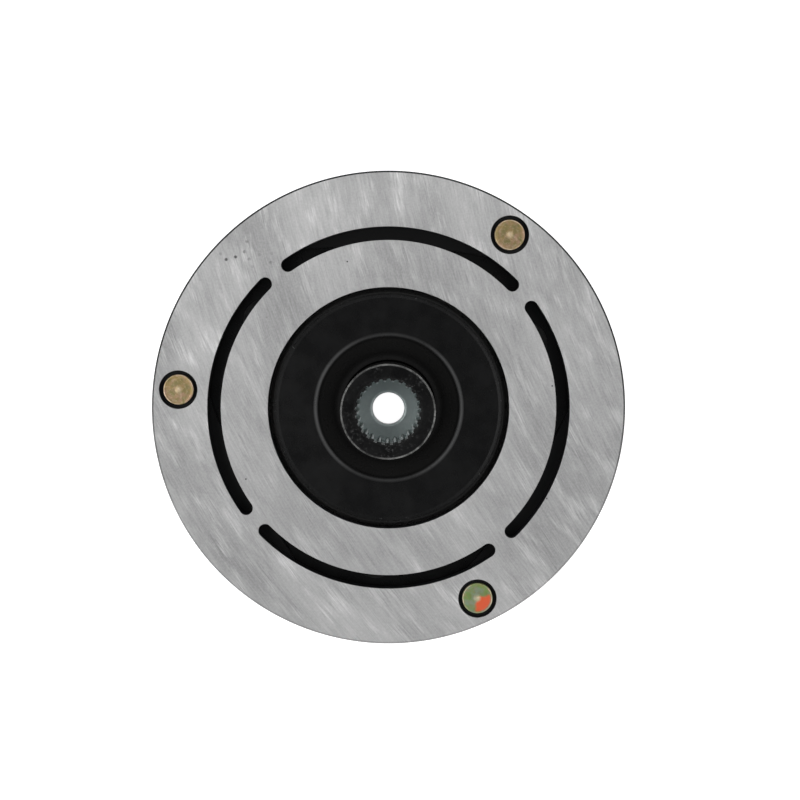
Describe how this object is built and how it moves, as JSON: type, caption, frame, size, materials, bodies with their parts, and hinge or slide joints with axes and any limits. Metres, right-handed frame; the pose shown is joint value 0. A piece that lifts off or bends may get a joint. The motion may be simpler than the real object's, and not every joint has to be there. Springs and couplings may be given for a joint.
{
  "type": "electromagnetic clutch armature and hub",
  "caption": "Splined hub and leaf-sprung steel armature that a clutch coil pulls against a compressor pulley's rotor to drive the shaft.",
  "frame": {"origin": "centre of the hub boss's front face, the plane that the assembly rests on with its friction face up", "axes": "+Z along the shaft axis from the clutch's front towards the compressor, out of the friction face; +X towards the first hub rivet's lobe, opposite the first armature rivet"},
  "size_m": [0.112, 0.112, 0.034],
  "materials": {
    "ground_steel": "ground with coarse curved strokes, dry and bright",
    "black_coat": "black electrocoat, satin, scuffed on edges; bare grey phosphate on the web inside the socket",
    "spring_steel": "dark oiled spring steel",
    "yellow_zinc": "zinc plated with yellow chromate",
    "stop_rubber": "moulded matt black"
  },
  "bodies": {
    "hub": {"hub_boss": "black_coat", "hub_plate": "black_coat", "leaf_spring_lower_1": "spring_steel", "leaf_spring_lower_2": "spring_steel", "leaf_spring_lower_3": "spring_steel", "leaf_spring_upper_1": "spring_steel", "leaf_spring_upper_2": "spring_steel", "leaf_spring_upper_3": "spring_steel", "hub_rivet_1": "yellow_zinc", "hub_rivet_2": "yellow_zinc", "hub_rivet_3": "yellow_zinc", "rubber_stop_1": "stop_rubber", "rubber_stop_2": "stop_rubber", "rubber_stop_3": "stop_rubber"},
    "armature": {"armature_plate": "ground_steel", "armature_rivet_1": "yellow_zinc", "armature_rivet_2": "yellow_zinc", "armature_rivet_3": "yellow_zinc", "armature_spacer_1": "yellow_zinc", "armature_spacer_2": "yellow_zinc", "armature_spacer_3": "yellow_zinc", "armature_washer_1": "yellow_zinc", "armature_washer_2": "yellow_zinc", "armature_washer_3": "yellow_zinc"}
  },
  "joints": [
    {"name": "armature_slide", "type": "slide", "parent": "hub", "child": "armature", "axis": [0, 0, 1], "range_m": [0, 0.0006], "stiffness_N_per_m": 25000, "springref_m": -0.001, "deforming": ["leaf_spring_lower_1", "leaf_spring_lower_2", "leaf_spring_lower_3", "leaf_spring_upper_1", "leaf_spring_upper_2", "leaf_spring_upper_3"]}
  ]
}
